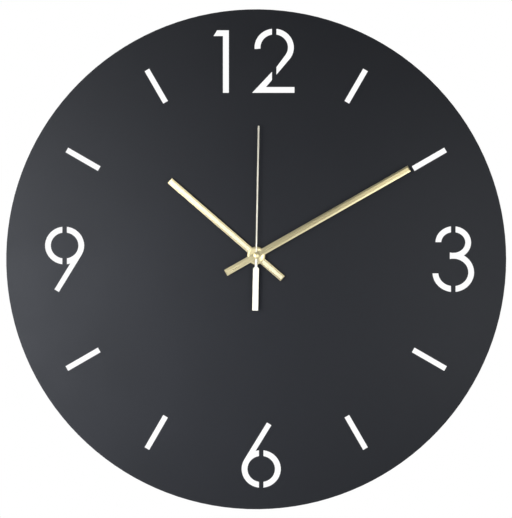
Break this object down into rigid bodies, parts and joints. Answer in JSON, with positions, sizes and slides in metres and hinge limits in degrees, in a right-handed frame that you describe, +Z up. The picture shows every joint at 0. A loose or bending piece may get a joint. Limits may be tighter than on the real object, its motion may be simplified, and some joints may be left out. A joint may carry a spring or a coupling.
{
  "type": "wall clock",
  "caption": "Flat black metal disc wall clock with cut-out numerals and hour marks, gold bar hands and a battery quartz movement behind the dial.",
  "frame": {"origin": "on the hands' axis, in the wall plane at the movement's flat back face", "axes": "+Z up to twelve o'clock, +X to three o'clock as seen from the front, +Y into the wall; the dial faces -Y"},
  "size_m": [0.3999, 0.029, 0.4],
  "materials": {
    "dial_powder_coat": "satin powder coat",
    "hand_gold": "brushed, champagne gold anodised",
    "second_hand_gold": "satin, pale gold anodised",
    "brass": "polished",
    "gold_plated_brass": "polished",
    "black_rubber": "matte",
    "galvanised_steel": "satin",
    "black_abs": "fine spark texture",
    "natural_pom": "moulded",
    "white_abs": "moulded",
    "knob_plastic": "moulded",
    "board_green": "solder mask",
    "epoxy_black": "gloss",
    "bobbin_plastic": "moulded",
    "copper_wire": "enamelled",
    "core_iron": "satin",
    "bright_steel": "polished",
    "magnet_ferrite": "matte",
    "nickel_strip": "satin",
    "nickel_can": "polished",
    "printed_sleeve": "gloss"
  },
  "bodies": {
    "clock_body": {"dial_plate": "dial_powder_coat", "shaft_nut": "gold_plated_brass", "shaft_washer": "gold_plated_brass", "rubber_gasket": "black_rubber", "hanger_plate": "galvanised_steel", "case_front": "black_abs", "case_back": "black_abs", "threaded_bush": "brass", "gear_plate": "white_abs", "circuit_board": "board_green", "chip_blob": "epoxy_black", "quartz_crystal": "bright_steel", "coil_bobbin": "bobbin_plastic", "coil_winding": "copper_wire", "coil_core": "core_iron", "stator_plate": "core_iron", "stator_screws": "bright_steel", "contact_positive": "nickel_strip", "contact_negative": "nickel_strip"},
    "seconds": {"second_wheel": "natural_pom", "second_hand_blade": "second_hand_gold", "second_hand_cap": "gold_plated_brass"},
    "fifth": {"fifth_wheel": "natural_pom"},
    "rotor": {"rotor_pinion": "natural_pom", "rotor_magnet": "magnet_ferrite"},
    "third": {"third_wheel": "natural_pom"},
    "centre": {"centre_wheel": "natural_pom"},
    "minutes": {"minute_cannon": "brass", "minute_hand_blade": "hand_gold", "minute_hand_collet": "brass"},
    "motion": {"motion_wheel": "natural_pom", "set_knob": "knob_plastic"},
    "hours": {"hour_wheel": "natural_pom", "hour_hand_blade": "hand_gold", "hour_hand_collet": "brass"},
    "battery": {"battery_can": "nickel_can", "battery_sleeve": "printed_sleeve"}
  },
  "joints": [
    {"name": "second_hand_turn", "type": "hinge", "parent": "clock_body", "child": "seconds", "pos_m": [0, 0, 0], "axis": [0, 1, 0], "continuous": true},
    {"name": "minute_hand_turn", "type": "hinge", "parent": "clock_body", "child": "minutes", "pos_m": [0, 0, 0], "axis": [0, 1, 0], "continuous": true},
    {"name": "hour_hand_turn", "type": "hinge", "parent": "clock_body", "child": "hours", "pos_m": [0, 0, 0], "axis": [0, 1, 0], "continuous": true},
    {"name": "fifth_wheel_turn", "type": "hinge", "parent": "clock_body", "child": "fifth", "pos_m": [0.00982, 0, 0.00263], "axis": [0, 1, 0], "continuous": true},
    {"name": "rotor_turn", "type": "hinge", "parent": "clock_body", "child": "rotor", "pos_m": [0.0143, 0, 0.01039], "axis": [0, 1, 0], "continuous": true},
    {"name": "third_wheel_turn", "type": "hinge", "parent": "clock_body", "child": "third", "pos_m": [-0.00966, 0, 0.00259], "axis": [0, 1, 0], "continuous": true},
    {"name": "centre_wheel_turn", "type": "hinge", "parent": "clock_body", "child": "centre", "pos_m": [0, 0, 0], "axis": [0, 1, 0], "continuous": true},
    {"name": "motion_wheel_turn", "type": "hinge", "parent": "clock_body", "child": "motion", "pos_m": [0, 0, 0.01037], "axis": [0, 1, 0], "continuous": true},
    {"name": "battery_slide", "type": "slide", "parent": "clock_body", "child": "battery", "axis": [0, 1, 0], "range_m": [0, 0.018]}
  ],
  "couplings": [
    {"joint": "fifth_wheel_turn", "follows": "second_hand_turn", "ratio": -5},
    {"joint": "rotor_turn", "follows": "second_hand_turn", "ratio": 30},
    {"joint": "third_wheel_turn", "follows": "second_hand_turn", "ratio": -0.125},
    {"joint": "centre_wheel_turn", "follows": "second_hand_turn", "ratio": 0.016667},
    {"joint": "motion_wheel_turn", "follows": "minute_hand_turn", "ratio": -0.33333},
    {"joint": "hour_hand_turn", "follows": "minute_hand_turn", "ratio": 0.083333}
  ]
}
